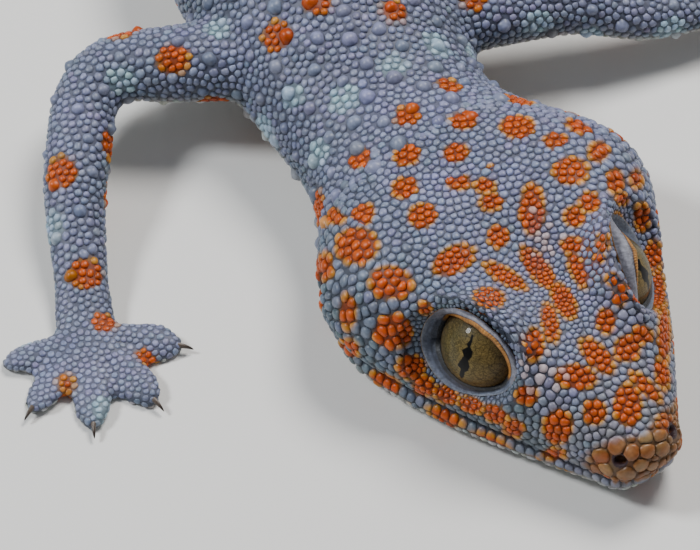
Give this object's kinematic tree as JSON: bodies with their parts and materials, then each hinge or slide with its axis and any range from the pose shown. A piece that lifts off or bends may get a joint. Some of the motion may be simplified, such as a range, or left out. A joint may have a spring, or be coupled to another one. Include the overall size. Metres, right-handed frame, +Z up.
{
  "type": "tokay gecko",
  "caption": "Life-size large-headed gecko resting low on the ground, body gently curved, limbs spread on padded toes, tail in a loose bend.",
  "frame": {"origin": "on the floor under the middle of the whole animal's bounding box", "axes": "+Z up; the snout points to -Y and a little to +X, and the tail to +Y"},
  "size_m": [0.1048, 0.2768, 0.0238],
  "materials": {
    "skin": "blue-grey beaded scales with orange spots, softly glossy",
    "limb_skin": "blue-grey beaded scales with orange spots, softly glossy",
    "eye": "wet, olive and gold iris with a black jagged slit pupil",
    "claw": "dark horn, glossy"
  },
  "bodies": {
    "root": {"head": "skin", "lower_jaw": "skin", "neck": "skin", "torso_front": "skin", "torso_rear": "skin", "tail_base": "skin", "tail_middle": "skin", "tail_rear": "skin", "tail_tip": "skin", "right_upper_arm": "limb_skin", "right_forearm": "limb_skin", "right_hand": "limb_skin", "left_upper_arm": "limb_skin", "left_forearm": "limb_skin", "left_hand": "limb_skin", "right_thigh": "limb_skin", "right_shin": "limb_skin", "right_foot": "limb_skin", "left_thigh": "limb_skin", "left_shin": "limb_skin", "left_foot": "limb_skin", "right_eye": "eye", "left_eye": "eye"}
  },
  "joints": []
}
